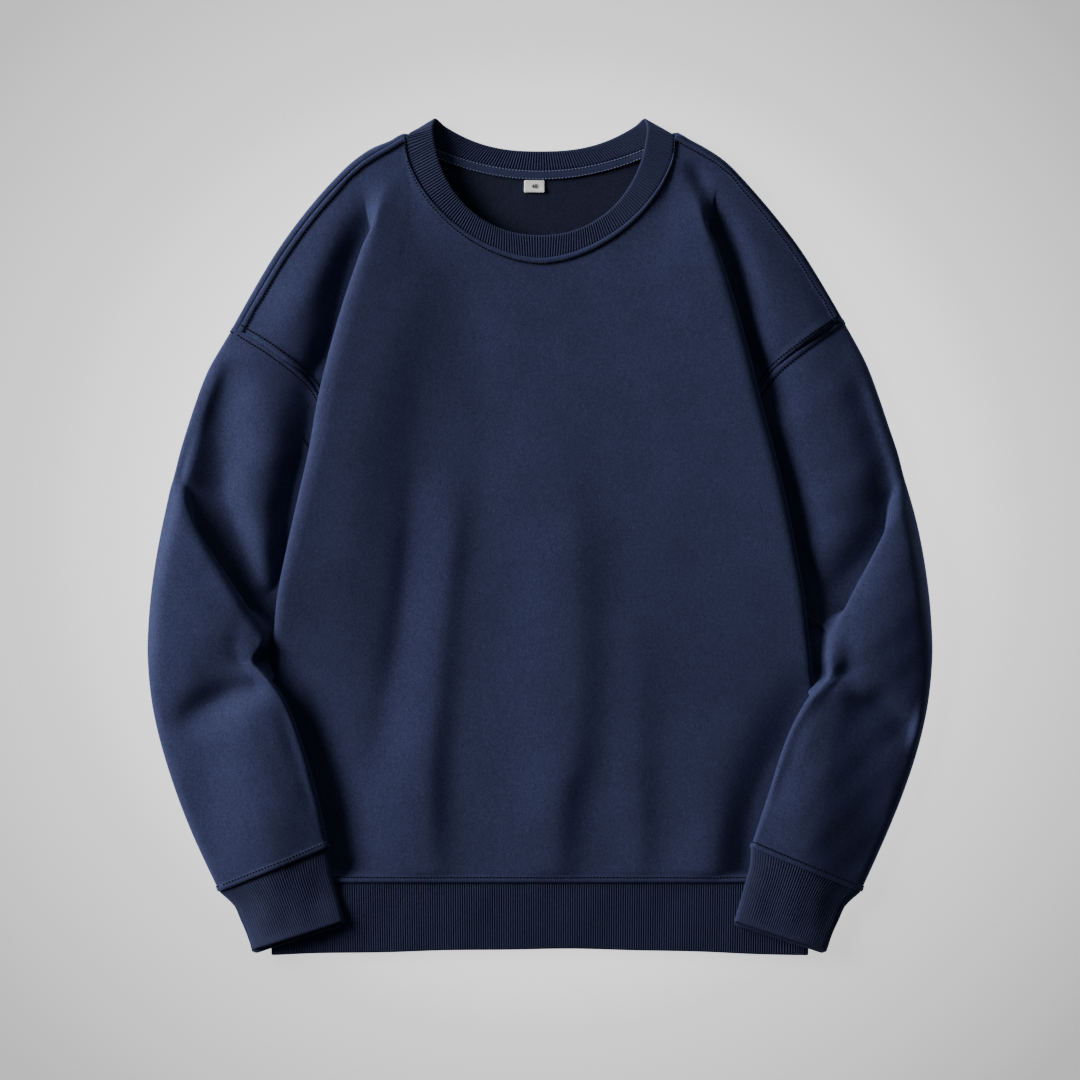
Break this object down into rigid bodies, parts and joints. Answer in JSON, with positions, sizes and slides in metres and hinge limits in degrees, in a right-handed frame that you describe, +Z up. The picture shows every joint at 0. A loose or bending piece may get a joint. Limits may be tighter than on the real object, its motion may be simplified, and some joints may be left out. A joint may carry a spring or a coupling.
{
  "type": "crewneck sweatshirt",
  "caption": "Drop-shoulder crewneck sweatshirt in fleece with ribbed collar, cuffs and hem, lying flat with its sleeves folded in beside the body.",
  "frame": {"origin": "on the surface the garment lies on, at the centre of its outline", "axes": "+Y from the hem up to the neck, +Z up from the surface through the front, +X to the side of the sleeve at the viewer's right"},
  "size_m": [0.6856, 0.7285, 0.0253],
  "materials": {
    "fleece": "navy sweatshirt fleece, matte",
    "rib": "navy 1x1 rib knit, matte",
    "woven_label": "white woven tape"
  },
  "bodies": {
    "root": {"front": "fleece", "back": "fleece", "sleeve_left": "fleece", "sleeve_right": "fleece", "collar": "rib", "cuff_left": "rib", "cuff_right": "rib", "hem_rib": "rib", "neck_tape": "fleece", "size_label": "woven_label"}
  },
  "joints": []
}
